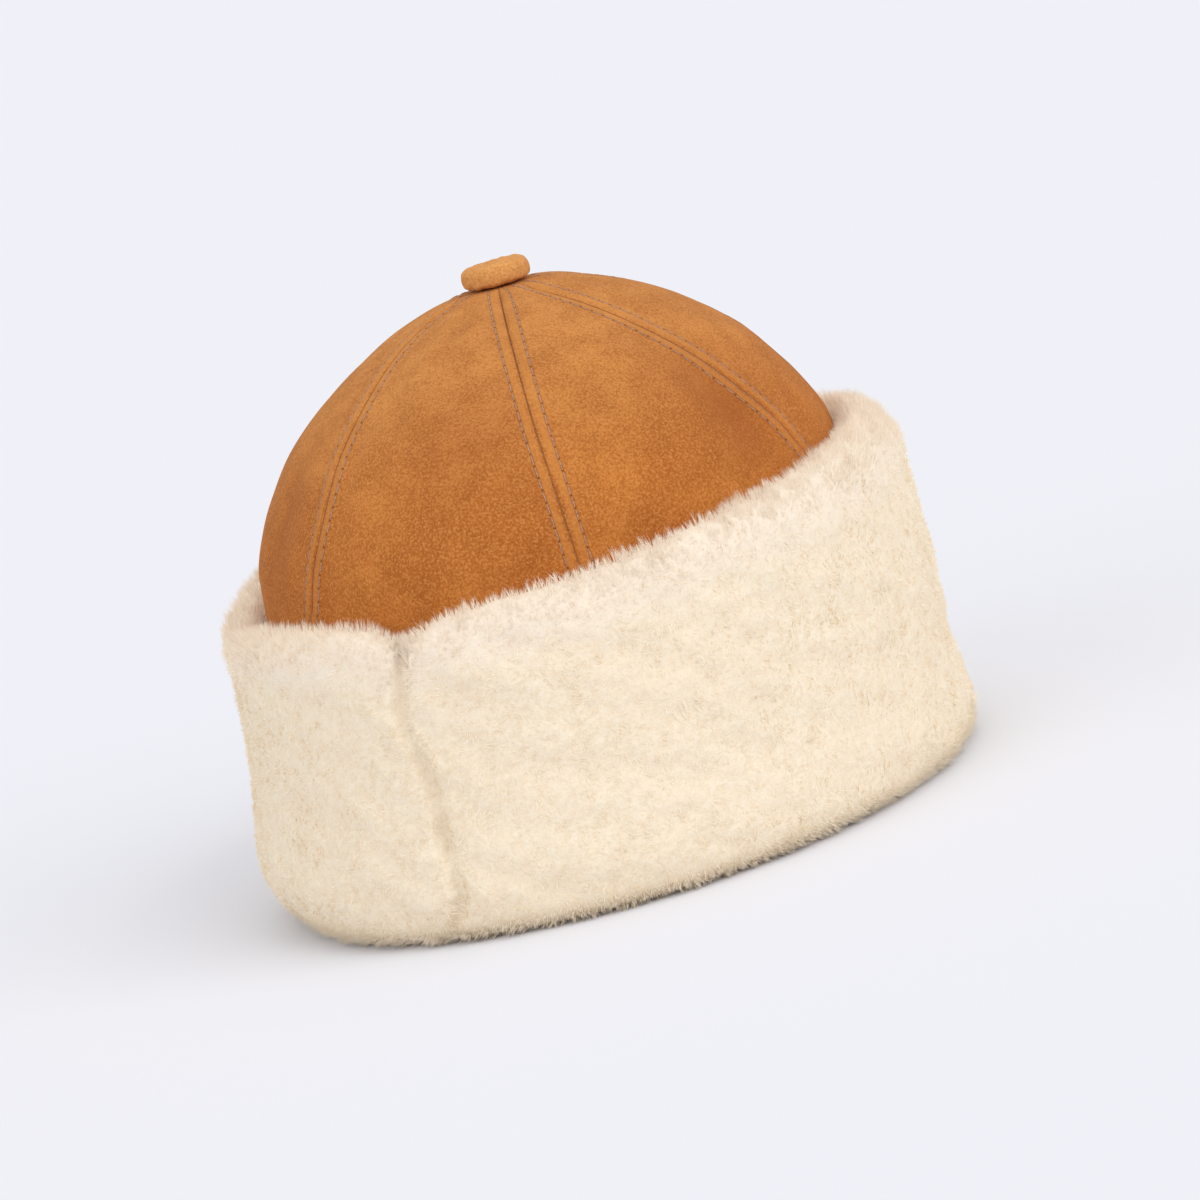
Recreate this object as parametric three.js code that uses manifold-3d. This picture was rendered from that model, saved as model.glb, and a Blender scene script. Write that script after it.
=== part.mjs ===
// A sheepskin hat: a domed crown of six suede panels with a covered button on top, and a deep cuff of
// the same skin, turned up so that its fleece shows outside.
// Millimetres, +Z up. The origin lies on the plane that the hat rests on, under the middle of the whole
// hat's outline. The shapes are worked out about the middle of the head opening, which lies at MIDDLE.
// A turn is counted in degrees round the hat from -Y, where the two ends of the cuff meet at the back
// of the hat, towards +X. "Out" is the distance outwards from the crown's lower wall.
import * as THREE from 'three';
import { mergeVertices } from 'three/addons/utils/BufferGeometryUtils.js';
import Module from 'manifold-3d';

const wasm = await Module();
wasm.setup();

// The head opening: half the width and half the length of the crown's lower wall, outside.
const HALF_WIDTH = 98;
const HALF_LENGTH = 109.5;
const HIDE = 3;
const MIDDLE = { x: -1.9, y: -0.6 };
// Half the gap at each seam. Panels and their neighbours stay this far from the seam's plane.
const SEAM_GAP = 0.15;

// The crown's seams, at their turns where the cuff hides them. The panels are cut by hand, so they are not
// quite alike, and a seam drifts round the hat on its way up: by its bow halfway, and by its sweep at the top.
const SEAMS = [
  { turn: -28, bow: 13, sweep: -18 },
  { turn: 34, bow: 0, sweep: -5 },
  { turn: 92.5, bow: 4, sweep: -34 },
  { turn: 149, bow: 4, sweep: -22 },
  { turn: 209, bow: 3, sweep: -16 },
  { turn: 269, bow: 6, sweep: -14 },
];
// The part of the crown's curve, from its lower edge, where the seams run straight up.
const STRAIGHT_SHARE = 0.36;
// The hat leans forwards and to one side: how far off the middle it lies at each height.
const LEAN = [
  { z: 0, x: 0, y: 0 },
  { z: 110, x: 2.3, y: 3.2 },
  { z: 150, x: 2.6, y: 4 },
  { z: 187.5, x: 4.4, y: 5.4 },
];

// The crown's side view, from its lower edge to the hole for the button's shank. Share is the part of
// the head opening's width and length that the crown has at that height.
const CROWN_PROFILE = [
  { share: 1.0, z: 8.5 },
  { share: 1.0, z: 60 },
  { share: 0.998, z: 95 },
  { share: 0.991, z: 112 },
  { share: 0.968, z: 122 },
  { share: 0.91, z: 134 },
  { share: 0.79, z: 151.2 },
  { share: 0.642, z: 164.3 },
  { share: 0.42, z: 178 },
  { share: 0.195, z: 185.8 },
  { share: 0.03, z: 187.5 },
];
// Where the panels' rows lie, as shares of the length of that curve. The cuff hides the first ones.
const CROWN_ROWS = [0, 0.22, 0.36, 0.41, 0.46, 0.51, 0.57, 0.64, 0.72, 0.8, 0.88, 0.95, 1];

// Across a seam: the distance from it, and how far the surface stands up or sinks there. The hide of
// both panels is turned under and stitched down, which leaves a raised band with a groove between.
const SEAM_BAND = [
  { from: SEAM_GAP, rise: -0.8 },
  { from: 1.1, rise: 0.9 },
  { from: 4.2, rise: 0.9 },
  { from: 6.4, rise: 0 },
];
// Between the band and the middle of the panel, the columns lie at these shares of the way.
const MIDDLE_SHARES = [0.3, 0.65, 1];
// Towards the top, where a panel is narrow, the band is squeezed into this share of its half.
const MOST_BAND = 0.7;
// A seam draws the dome in between the fuller middles of its panels.
const SEAM_PULL = 2.2;
// The raised bands run out under the button and under the cuff.
const BAND_ENDS = { nearAxis: 13, full: 22, belowEdge: -2, aboveEdge: 6 };

// Soft hollows in the hide: their turn and height, how far they reach each way, and their depth.
const HOLLOWS = [
  { turn: 78, z: 140, wide: 9, high: 20, deep: 2.2 },
  { turn: -41, z: 132, wide: 8, high: 22, deep: 1.6 },
  { turn: 12, z: 150, wide: 14, high: 16, deep: 0.9 },
  { turn: 128, z: 142, wide: 12, high: 18, deep: 1.5 },
  { turn: -118, z: 136, wide: 13, high: 16, deep: 1.4 },
];
// How far along the crown's curve, and how far round it, its slope is measured.
const SLOPE_STEP = { along: 0.004, turn: 1 };

// The cuff's upper edge, which isn't level: it is lowest at its join and highest to one side of it.
const CUFF_HEIGHTS = [
  { turn: -180, z: 112 },
  { turn: -140, z: 113 },
  { turn: -95, z: 112 },
  { turn: -55, z: 99.5 },
  { turn: -34, z: 103 },
  { turn: -8, z: 102 },
  { turn: 0, z: 97 },
  { turn: 6.5, z: 101 },
  { turn: 14, z: 103 },
  { turn: 30, z: 104.5 },
  { turn: 51, z: 107.5 },
  { turn: 84, z: 112 },
  { turn: 118, z: 115.5 },
  { turn: 150, z: 113.5 },
  { turn: 180, z: 112 },
];

// One section of the cuff, drawn for an edge at NOMINAL_EDGE: a lip of fleece inside the head opening,
// the flat band that it rests on, the full outer face, the rounded upper edge and the straight inner
// side. Between the lip and the inner side is the channel where the crown's lower edge stands.
const NOMINAL_EDGE = 108;
const STRETCH_FROM = 24;
const CUFF_SECTION = [
  { out: -4.6, z: 20.4 },
  { out: -6, z: 21.5 },
  { out: -7.8, z: 20 },
  { out: -8.5, z: 14 },
  { out: -7.5, z: 6 },
  { out: -4.5, z: 1.2 },
  { out: -2, z: 0 },
  { out: 12, z: 0 },
  { out: 17.5, z: 2.2 },
  { out: 21.5, z: 7 },
  { out: 23, z: 14 },
  { out: 22.4, z: 24 },
  { out: 20.8, z: 36 },
  { out: 19.6, z: 48 },
  { out: 18.6, z: 60 },
  { out: 17.6, z: 72 },
  { out: 16.8, z: 84 },
  { out: 15.9, z: 94 },
  { out: 14.4, z: 101.5 },
  { out: 11, z: 106.6 },
  { out: 6, z: 108.3 },
  { out: 1.9, z: 105.5 },
  { out: 0.3, z: 101 },
  { out: 0.3, z: 8.2 },
  { out: -3.8, z: 8.2 },
  { out: -3.8, z: 19 },
];
const CUFF_COLUMNS = 84;
// Where the cuff is fuller or slimmer than that section: the turn and height, how far it reaches each
// way, and how much it stands out.
const FULLNESS = [
  { turn: 118, z: 74, wide: 62, high: 36, rise: 4.4 },
  { turn: 110, z: 104, wide: 50, high: 10, rise: 2 },
  { turn: -60, z: 62, wide: 48, high: 30, rise: -2 },
  { turn: -80, z: 98, wide: 40, high: 12, rise: 3 },
  { turn: -60, z: 1, wide: 44, high: 13, rise: -10 },
  { turn: 118, z: 10, wide: 50, high: 16, rise: 2 },
];
// Fleece lies in clumps. Only the outer face shows them: they fade out where a section point lies
// further in than this, and towards the resting band.
const CLUMPS = { depth: 1.1, fullAtOut: 11, noneAtOut: 6, noneAtZ: 2, fullAtZ: 12 };
// Each kind of clump is a wave round the hat times a wave up it, and each bends the other: how many
// there are round the hat, how fast they follow each other up it, how much both bend, and their share.
const CLUMP_WAVES = [
  { round: 9, up: 0.085, bend: 0.06, sway: 2, sways: 4, share: 0.5 },
  { round: 21, up: 0.21, bend: 0.12, sway: 1.9, sways: 7, share: 0.7 },
];

// The join: where the cuff's two ends meet, the fleece parts in a narrow valley that wanders a little.
const JOIN = { depth: 5, halfTurn: 1.35, bendsWithin: 14 };
const JOIN_PATH = [
  { z: 5, turn: 1 },
  { z: 16, turn: 3.2 },
  { z: 38, turn: 2 },
  { z: 60, turn: 1.5 },
  { z: 84, turn: -1.5 },
  { z: 97, turn: 0 },
];
const JOIN_COLUMNS = [-2.8, -1.4, 0, 1.4, 2.8];
const LAST_JOIN_COLUMN = 2.8;

// Locks of wool along the upper edge: each is a thin cone with its base sunk in the cuff.
const LOCKS = 72;
const LOCK = { sides: 5, halfWidth: 5, halfDepth: 2.1, baseOut: 4.8, baseDrop: 5, tipOut: 2.4, tipRise: 2 };
// How much the locks differ: in where along their share of the edge they stand, in how far out their
// base and tip lie, in the turn between base and tip, and in how far the tip rises above the edge.
const LOCKS_VARY = { place: 0.5, baseOut: 2, tipOut: 1, tipTurn: 3, tipRise: 2.4 };

// The button: a covered disc with a domed top, and a shank through the hole in the crown's top.
const BUTTON = { radius: 11.75, thick: 8, shankRadius: 2.2, shankBelow: 4, gap: 0.3, sides: 24 };
// The button's outline above its shank, as shares of its radius and thickness.
const BUTTON_OUTLINE = [
  { radius: 0.86, up: 0 },
  { radius: 0.97, up: 0.14 },
  { radius: 1, up: 0.36 },
  { radius: 0.96, up: 0.6 },
  { radius: 0.84, up: 0.8 },
  { radius: 0.62, up: 0.93 },
  { radius: 0.32, up: 0.99 },
  { radius: 0, up: 1 },
];

const SUEDE = { color: 0xc27a3f, roughness: 0.95, metalness: 0 };
const FLEECE = { color: 0xf1e0ca, roughness: 1, metalness: 0 };

const radians = THREE.MathUtils.degToRad;
const smoothstep = THREE.MathUtils.smoothstep;

// The turn brought into -180..180.
const wrapped = (turn) => THREE.MathUtils.euclideanModulo(turn + 180, 360) - 180;

// Numbers in 0..1 that look random and come out the same each time.
const random = (seed) => THREE.MathUtils.seededRandom(seed);

const cuffHeights = new THREE.CubicInterpolant(
  CUFF_HEIGHTS.map((row) => row.turn),
  CUFF_HEIGHTS.map((row) => row.z),
  1,
);
cuffHeights.settings = { endingStart: THREE.WrapAroundEnding, endingEnd: THREE.WrapAroundEnding };
const cuffEdge = (turn) => cuffHeights.evaluate(wrapped(turn))[0];

// Straight lines between the rows of a table, from its column x to its column y.
function between(table, x, y, at) {
  const last = table.length - 1;
  if (at <= table[0][x]) return table[0][y];
  if (at >= table[last][x]) return table[last][y];
  const next = table.findIndex((row) => row[x] > at);
  const a = table[next - 1];
  const b = table[next];
  return a[y] + ((b[y] - a[y]) * (at - a[x])) / (b[x] - a[x]);
}

// Joins closed loops of points, each as long as the others, into one closed body. A chain of loops is
// capped at both ends by a ladder between the loop's first and second half. A ring is closed on itself.
function skin(loops, isRing) {
  const size = loops[0].length;
  const index = [];
  const quad = (a, b, c, d) => index.push(a, b, c, a, c, d);
  const bands = isRing ? loops.length : loops.length - 1;
  for (let i = 0; i < bands; i += 1) {
    const here = i * size;
    const next = ((i + 1) % loops.length) * size;
    for (let j = 0; j < size; j += 1) {
      const k = (j + 1) % size;
      quad(here + j, here + k, next + k, next + j);
    }
  }
  if (!isRing) {
    const end = (loops.length - 1) * size;
    for (let j = 0; j < size / 2 - 1; j += 1) {
      quad(j, size - 1 - j, size - 2 - j, j + 1);
      quad(end + j, end + j + 1, end + size - 2 - j, end + size - 1 - j);
    }
  }
  const geometry = new THREE.BufferGeometry().setFromPoints(loops.flat());
  geometry.setIndex(index);
  return geometry;
}

function toManifold(geometry) {
  const bare = geometry.clone();
  bare.deleteAttribute('normal');
  bare.deleteAttribute('uv');
  const merged = mergeVertices(bare, 1e-4);
  return new wasm.Manifold(
    new wasm.Mesh({
      numProp: 3,
      vertProperties: new Float32Array(merged.attributes.position.array),
      triVerts: new Uint32Array(merged.index.array),
    }),
  );
}

function toGeometry(manifold) {
  const mesh = manifold.getMesh();
  const geometry = new THREE.BufferGeometry();
  geometry.setAttribute('position', new THREE.BufferAttribute(mesh.vertProperties, 3));
  geometry.setIndex(new THREE.BufferAttribute(mesh.triVerts, 1));
  return geometry;
}

function named(name, geometry, look) {
  const mesh = new THREE.Mesh(geometry, new THREE.MeshStandardMaterial(look));
  mesh.name = name;
  return mesh;
}

const profile = new THREE.CatmullRomCurve3(
  CROWN_PROFILE.map((row) => new THREE.Vector3(row.share * HALF_LENGTH, 0, row.z)),
  false,
  'centripetal',
);

// Moves a point of the upright hat to where it lies in the leaning one.
function leant(point) {
  point.x += between(LEAN, 'z', 'x', point.z);
  point.y += between(LEAN, 'z', 'y', point.z);
  return point;
}

// A point of the smooth dome, before seams and hollows.
function domePoint(turn, along) {
  const at = profile.getPointAt(THREE.MathUtils.clamp(along, 0, 1));
  const share = at.x / HALF_LENGTH;
  const angle = radians(turn);
  const x = HALF_WIDTH * share * Math.sin(angle);
  const y = -HALF_LENGTH * share * Math.cos(angle);
  return leant(new THREE.Vector3(x, y, at.z));
}

const top = LEAN[LEAN.length - 1];

// How far a point of the dome is from the upright line through its top.
const fromTop = (point) => Math.hypot(point.x - top.x, point.y - top.y);

function domeNormal(turn, along) {
  const up = domePoint(turn, along + SLOPE_STEP.along).sub(domePoint(turn, along - SLOPE_STEP.along));
  const round = domePoint(turn + SLOPE_STEP.turn, along).sub(domePoint(turn - SLOPE_STEP.turn, along));
  return round.cross(up).normalize();
}

// How much a hollow or fullness counts at a place: one at its own place, and less away from it.
function nearness(spot, turn, z) {
  const round = wrapped(turn - spot.turn) / spot.wide;
  const up = (z - spot.z) / spot.high;
  return Math.exp(-round * round - up * up);
}

// How far the crown's outer surface stands out of the smooth dome, at a distance from the nearest seam.
function relief(turn, point, fromSeam, halfPanel) {
  const edge = cuffEdge(turn);
  const shown =
    smoothstep(point.z, edge + BAND_ENDS.belowEdge, edge + BAND_ENDS.aboveEdge) *
    smoothstep(fromTop(point), BAND_ENDS.nearAxis, BAND_ENDS.full);
  const fullness = Math.sin((Math.PI / 2) * Math.min(1, fromSeam / halfPanel));
  let sunk = SEAM_PULL * (1 - fullness);
  for (const hollow of HOLLOWS) sunk += hollow.deep * nearness(hollow, turn, point.z);
  return shown * (between(SEAM_BAND, 'from', 'rise', fromSeam) - sunk);
}

// A seam's turn where the crown's curve has run this share of its length.
function seamTurn(seam, along) {
  const way = THREE.MathUtils.clamp((along - STRAIGHT_SHARE) / (1 - STRAIGHT_SHARE), 0, 1);
  return seam.turn + 4 * seam.bow * way * (1 - way) + seam.sweep * way;
}

// One panel, from its left seam to its right one. Its columns keep their distance from the nearer seam,
// so that the raised band is as wide all the way up, and close up where the panel is too narrow.
function crownPanel(leftSeam, rightSeam) {
  const loops = CROWN_ROWS.map((along) => {
    const leftTurn = seamTurn(leftSeam, along);
    const rightTurn = seamTurn(rightSeam, along);
    const halfTurn = (rightTurn - leftTurn) / 2;
    const radius = fromTop(domePoint(leftTurn + halfTurn, along));
    const halfPanel = radius * radians(halfTurn);
    const bandEnd = SEAM_BAND[SEAM_BAND.length - 1].from;
    const squeeze = Math.min(1, (MOST_BAND * (halfPanel - SEAM_GAP)) / (bandEnd - SEAM_GAP));
    const distances = SEAM_BAND.map((row) => SEAM_GAP + (row.from - SEAM_GAP) * squeeze);
    const banded = distances[distances.length - 1];
    for (const share of MIDDLE_SHARES) distances.push(banded + (halfPanel - banded) * share);
    const turned = (distance) => (halfTurn * distance) / halfPanel;
    const left = distances.map((distance) => ({ distance, turn: leftTurn + turned(distance) }));
    const right = distances.map((distance) => ({ distance, turn: rightTurn - turned(distance) }));
    // Both halves hold the column in the middle of the panel, which is wanted once.
    const columns = [...left, ...right.reverse().slice(1)];
    const outer = [];
    const inner = [];
    for (const column of columns) {
      const point = domePoint(column.turn, along);
      const normal = domeNormal(column.turn, along);
      const rise = relief(column.turn, point, column.distance, halfPanel);
      const fall = Math.min(0, rise) - HIDE;
      outer.push(point.clone().addScaledVector(normal, rise));
      inner.unshift(point.clone().addScaledVector(normal, fall));
    }
    return [...inner, ...outer];
  });
  return skin(loops, false);
}

// A point of the cuff: on the crown's lower wall seen from above, and so far out from it.
function wallPoint(turn, out, z) {
  const angle = radians(turn);
  const outwards = new THREE.Vector2(HALF_LENGTH * Math.sin(angle), -HALF_WIDTH * Math.cos(angle));
  outwards.normalize();
  return leant(
    new THREE.Vector3(
      HALF_WIDTH * Math.sin(angle) + out * outwards.x,
      -HALF_LENGTH * Math.cos(angle) + out * outwards.y,
      z,
    ),
  );
}

// How far the fleece stands out of the cuff's section at a place, as a share of the clumps' depth.
function clump(turn, z) {
  const angle = radians(turn);
  let sum = 0;
  for (const wave of CLUMP_WAVES) {
    const round = Math.sin(wave.round * angle + wave.bend * z);
    const up = Math.sin(wave.up * z + wave.sway * Math.sin(wave.sways * angle));
    sum += wave.share * round * up;
  }
  return sum;
}

// Where a column of the cuff's mesh meets a row of its section. Near the join, columns follow its path.
function cuffPoint(column, row) {
  const nearJoin = 1 - smoothstep(Math.abs(column), LAST_JOIN_COLUMN, JOIN.bendsWithin);
  const outer = smoothstep(row.out, CLUMPS.noneAtOut, CLUMPS.fullAtOut);
  const face = outer * smoothstep(row.z, CLUMPS.noneAtZ, CLUMPS.fullAtZ);
  const turn = column + between(JOIN_PATH, 'z', 'turn', row.z) * nearJoin * face;
  const stretch = (cuffEdge(turn) - STRETCH_FROM) / (NOMINAL_EDGE - STRETCH_FROM);
  const z = row.z > STRETCH_FROM ? STRETCH_FROM + (row.z - STRETCH_FROM) * stretch : row.z;
  const fromJoin = column / JOIN.halfTurn;
  const valley = JOIN.depth * Math.exp(-fromJoin * fromJoin);
  let out = row.out + face * (CLUMPS.depth * clump(turn, z) - valley);
  for (const spot of FULLNESS) out += outer * spot.rise * nearness(spot, turn, z);
  return wallPoint(turn, out, z);
}

function cuffBody() {
  const regular = Array.from({ length: CUFF_COLUMNS }, (_, i) => -180 + (i * 360) / CUFF_COLUMNS);
  const clearOfJoin = regular.filter((turn) => Math.abs(turn) > LAST_JOIN_COLUMN + 0.5);
  // Against the turn, so that the faces look outwards.
  const columns = [...clearOfJoin, ...JOIN_COLUMNS].sort((a, b) => b - a);
  return skin(
    columns.map((column) => CUFF_SECTION.map((row) => cuffPoint(column, row))),
    true,
  );
}

function edgeLock(count) {
  const kinds = [1, 2, 3, 4, 5];
  const [place, baseOut, tipOut, tipTurn, tipRise] = kinds.map((kind) => random(count * 10 + kind));
  const turn = -180 + ((count + 0.5 + LOCKS_VARY.place * (place - 0.5)) * 360) / LOCKS;
  const edge = cuffEdge(turn);
  const base = wallPoint(turn, LOCK.baseOut + LOCKS_VARY.baseOut * baseOut, edge - LOCK.baseDrop);
  const tip = wallPoint(
    turn + LOCKS_VARY.tipTurn * (tipTurn - 0.5),
    LOCK.tipOut + LOCKS_VARY.tipOut * tipOut,
    edge + LOCK.tipRise + LOCKS_VARY.tipRise * tipRise,
  );
  const axis = tip.sub(base);
  const outwards = wallPoint(turn, 1, 0).sub(wallPoint(turn, 0, 0));
  const side = axis.clone().cross(outwards).normalize();
  const stance = new THREE.Matrix4().makeBasis(
    side.clone().multiplyScalar(LOCK.halfWidth),
    axis,
    side.clone().cross(axis).normalize().multiplyScalar(LOCK.halfDepth),
  );
  return new THREE.ConeGeometry(1, 1, LOCK.sides)
    .translate(0, 0.5, 0)
    .applyMatrix4(stance)
    .translate(base.x, base.y, base.z);
}

function cuff() {
  let solid = toManifold(cuffBody());
  for (let count = 0; count < LOCKS; count += 1) solid = solid.add(toManifold(edgeLock(count)));
  return toGeometry(solid);
}

function crownButton() {
  const seat = top.z + BUTTON.gap;
  const shankEnd = top.z - BUTTON.shankBelow;
  const outline = [
    new THREE.Vector2(0, shankEnd),
    new THREE.Vector2(BUTTON.shankRadius, shankEnd),
    new THREE.Vector2(BUTTON.shankRadius, seat),
  ];
  for (const row of BUTTON_OUTLINE) {
    outline.push(new THREE.Vector2(BUTTON.radius * row.radius, seat + BUTTON.thick * row.up));
  }
  return new THREE.LatheGeometry(outline, BUTTON.sides).rotateX(Math.PI / 2);
}

const hat = new THREE.Group();
hat.position.set(MIDDLE.x, MIDDLE.y, 0);

SEAMS.forEach((leftSeam, count) => {
  const next = SEAMS[(count + 1) % SEAMS.length];
  const rightSeam = count + 1 < SEAMS.length ? next : { ...next, turn: next.turn + 360 };
  hat.add(named(`crown_panel_${count + 1}`, crownPanel(leftSeam, rightSeam), SUEDE));
});

const button = named('crown_button', crownButton(), SUEDE);
button.position.set(top.x, top.y, 0);
hat.add(button);

hat.add(named('cuff', cuff(), FLEECE));

export default hat;
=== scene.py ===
"""The looks of a sheepskin hat: suede crown panels, a covered button and a cuff of fleece.

Shapes are worked out in millimetres, as in the part's source, and become metres when a mesh is made. A turn
is counted in degrees round the hat from -Y, where the cuff's two ends meet, towards +X.
"""

import math

import bpy
import numpy as np
from mathutils import Matrix, Vector


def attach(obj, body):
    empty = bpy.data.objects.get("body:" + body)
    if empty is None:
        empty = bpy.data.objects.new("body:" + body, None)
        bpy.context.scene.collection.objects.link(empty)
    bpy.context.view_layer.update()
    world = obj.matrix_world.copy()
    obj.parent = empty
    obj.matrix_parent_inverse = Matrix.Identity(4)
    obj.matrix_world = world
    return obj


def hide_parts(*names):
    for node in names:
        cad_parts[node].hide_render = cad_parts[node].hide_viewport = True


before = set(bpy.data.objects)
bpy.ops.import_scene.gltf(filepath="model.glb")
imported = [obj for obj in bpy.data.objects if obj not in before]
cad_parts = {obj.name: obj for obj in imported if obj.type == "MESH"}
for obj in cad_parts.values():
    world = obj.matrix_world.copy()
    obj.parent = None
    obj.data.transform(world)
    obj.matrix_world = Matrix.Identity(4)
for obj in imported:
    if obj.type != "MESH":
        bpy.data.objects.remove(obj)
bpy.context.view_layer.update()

MM = 0.001

# The head opening and the crown, as the part's source has them.
HALF_WIDTH = 98.0
HALF_LENGTH = 109.5
HIDE = 3.0
MIDDLE = np.array([-1.9, -0.6, 0.0])
SEAM_GAP = 0.04
# Turn at the cuff, bow halfway up and sweep at the top, and where along the crown's curve the drift starts.
SEAMS = [(-28, 13, -18), (34, 0, -5), (92.5, 4, -34), (149, 4, -22), (209, 3, -16), (269, 6, -14)]
STRAIGHT_SHARE = 0.36
LEAN_AT = [0.0, 110.0, 150.0, 187.5]
LEAN_X = [0.0, 2.3, 2.6, 4.4]
LEAN_Y = [0.0, 3.2, 4.0, 5.4]
# Share of the head opening, and height.
CROWN_PROFILE = [
    (1.0, 8.5),
    (1.0, 60.0),
    (0.998, 95.0),
    (0.991, 112.0),
    (0.968, 122.0),
    (0.91, 134.0),
    (0.79, 151.2),
    (0.642, 164.3),
    (0.42, 178.0),
    (0.195, 185.8),
    (0.03, 187.5),
]
SEAM_PULL = 2.2
MOST_BAND = 0.85
BAND_END = 6.4
# On a wide panel: where the grid's columns stand from a seam, and how high the seam's raised band is at each of
# these distances.
NEAR_COLUMNS = [0.04, 0.2, 0.45, 0.8, 1.3, 1.9, 2.7, 3.4, 3.9, 4.3, 4.7, 5.2, 5.8, 6.4]
BAND_AT = [0.04, 0.2, 0.45, 0.8, 1.3, 2.4, 3.4, 3.9, 4.3, 4.7, 5.2, 5.9, 6.6]
BAND_RISE = [0.6, 0.7, 0.82, 0.9, 0.96, 1.02, 0.94, 0.76, 0.5, 0.52, 0.5, 0.2, 0.0]
# Soft hollows in the hide: turn, height, reach round, reach up, depth.
HOLLOWS = [
    (78, 140, 9, 20, 2.2),
    (-41, 132, 8, 22, 1.6),
    (12, 150, 14, 16, 0.9),
    (128, 142, 12, 18, 1.5),
    (-118, 136, 13, 16, 1.4),
]
DEEPEST_HOLLOW = max(depth for *_, depth in HOLLOWS)
# Slow and quick waves in the hide, and the puckers that the stitches pull along their rows.
WAVES_HEIGHT = 0.35
RIPPLES_HEIGHT = 0.12
PUCKER_HEIGHT = 0.12
PUCKER_REACH = 1.2
# A panel's rows are few up to this share of the crown's curve, where the cuff hides them, and many past it.
FEW_ROWS_TO = 0.34
FEW_ROWS = 8
MANY_ROWS = 76
MIDDLE_COLUMNS = 12
# The relief comes in between these heights over the cuff's edge and these distances from the crown's top.
RELIEF_OVER_EDGE = (-2, 6)
RELIEF_FROM_TOP = (13, 22)

# The cuff: turn and height of its upper edge.
CUFF_HEIGHTS = [
    (-180, 112),
    (-140, 113),
    (-95, 112),
    (-55, 99.5),
    (-34, 103),
    (-8, 102),
    (0, 97),
    (6.5, 101),
    (14, 103),
    (30, 104.5),
    (51, 107.5),
    (84, 112),
    (118, 115.5),
    (150, 113.5),
    (180, 112),
]
NOMINAL_EDGE = 108.0
STRETCH_FROM = 24.0
# Out and height: the lip, the resting band, the outer face and the rounded upper edge.
CUFF_ROUND = [
    (-4.6, 20.4),
    (-6, 21.5),
    (-7.8, 20),
    (-8.5, 14),
    (-7.5, 6),
    (-4.5, 1.2),
    (-2, 0),
    (12, 0),
    (17.5, 2.2),
    (21.5, 7),
    (23, 14),
    (22.4, 24),
    (20.8, 36),
    (19.6, 48),
    (18.6, 60),
    (17.6, 72),
    (16.8, 84),
    (15.9, 94),
    (14.4, 101.5),
    (11, 106.6),
    (6, 108.3),
    (1.9, 105.5),
    (0.3, 101),
]
# The straight channel where the crown's lower edge stands, on from the last point above.
CUFF_CHANNEL = [(0.3, 94), (0.3, 60), (0.3, 30), (0.3, 8.2), (-3.8, 8.2), (-3.8, 19)]
CUFF_COLUMNS = 620
JOIN_COLUMNS = 70
CLOSE_COLUMNS_WITHIN = 8
ROUND_POINTS = 126
# Turn, height, reach round, reach up, rise.
FULLNESS = [
    (118, 74, 62, 36, 4.4),
    (110, 104, 50, 10, 2),
    (-60, 62, 48, 30, -2),
    (-80, 98, 40, 12, 3),
    (-60, 1, 44, 13, -10),
    (118, 10, 50, 16, 2),
]
# How high the fleece stands in clumps, and the wool's ground in small and in large tufts.
CLUMP_DEPTH = 0.8
SMALL_TUFTS_HEIGHT = 0.3
LARGE_TUFTS_HEIGHT = 0.45
# Waves round the hat, speed up it, bend, sway, sways, share.
CLUMP_WAVES = [(9, 0.085, 0.06, 2, 4, 0.5), (21, 0.21, 0.12, 1.9, 7, 0.7)]
JOIN_DEPTH = 3.0
JOIN_DEEPER_AT_TOP = 0.4
JOIN_HALF_TURN = 1.25
JOIN_DEEPER_BETWEEN = (70, 98)
JOIN_BENDS_WITHIN = 14.0
LAST_JOIN_COLUMN = 2.8
# Where fullness, clumps and the join's valley come in: outwards on the resting band, outwards above it, and up
# the section.
RESTING_BELOW = 3
COMES_IN_ON_BAND = (-2, 12)
COMES_IN_OUTWARDS = (6, 11)
COMES_IN_UPWARDS = (2, 12)
# Height and turn.
JOIN_PATH = [(5, 1), (16, 3.2), (38, 2), (60, 1.5), (84, -1.5), (97, 0)]

# The pile: how far the wool's ground lies under the cuff's surface and the strands' feet under the ground, how
# wide a small and a large tuft are, and the way round the cuff.
PILE_SINK = 0.6
ROOT_DEPTH = 0.3
TUFT = 2.6
LARGE_TUFT = TUFT * 2.7
WAY_ROUND = 767.0
TUFT_ROWS = 140
PILE_WIDTH = 0.3
PILE_CLEAR_OF_FLOOR = 0.15
PILE_PIECES = 4
STRANDS_TO_A_PIECE = 27000
# Heights in the section from and to which the fleece changes: standing up along the upper edge, paler there with
# painted light, standing away from the floor, and the ragged hem, which lies further out than HEM_OUT.
TOP_ZONE = (90, 103)
EDGE_LIGHT_ZONE = (84, 103)
LOW_ZONE = (3, 16)
HEM_ZONE = (1, 8)
HEM_OUT = 11
# How thickly the strands stand under the hat, on the lip and on the outer face, and how much more thickly
# towards the upper edge, at the foot, at the hem and along the join.
THICK_UNDER = 0.1
THICK_ON_LIP = 0.5
THICK_ON_FACE = 0.35
MORE_AT_TOP = 1.1
MORE_AT_FOOT = 0.3
MORE_AT_HEM = 1.5
MORE_AT_JOIN = 0.6
# Amounts that go with the tufts: the amount itself, and what a small and a large tuft's own number add.
LYING_OVER = (1.5, 0.4, 0.0)
PILE_LENGTH = (2.8, 0.6, 0.4)
LONGER_AT_TOP = (1.2, 1.1, 0.9)
LONGER_AT_HEM = (1.4, 1.3, 0.8)
PILE_TONE = (0.5, 0.25, 0.2)
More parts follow.
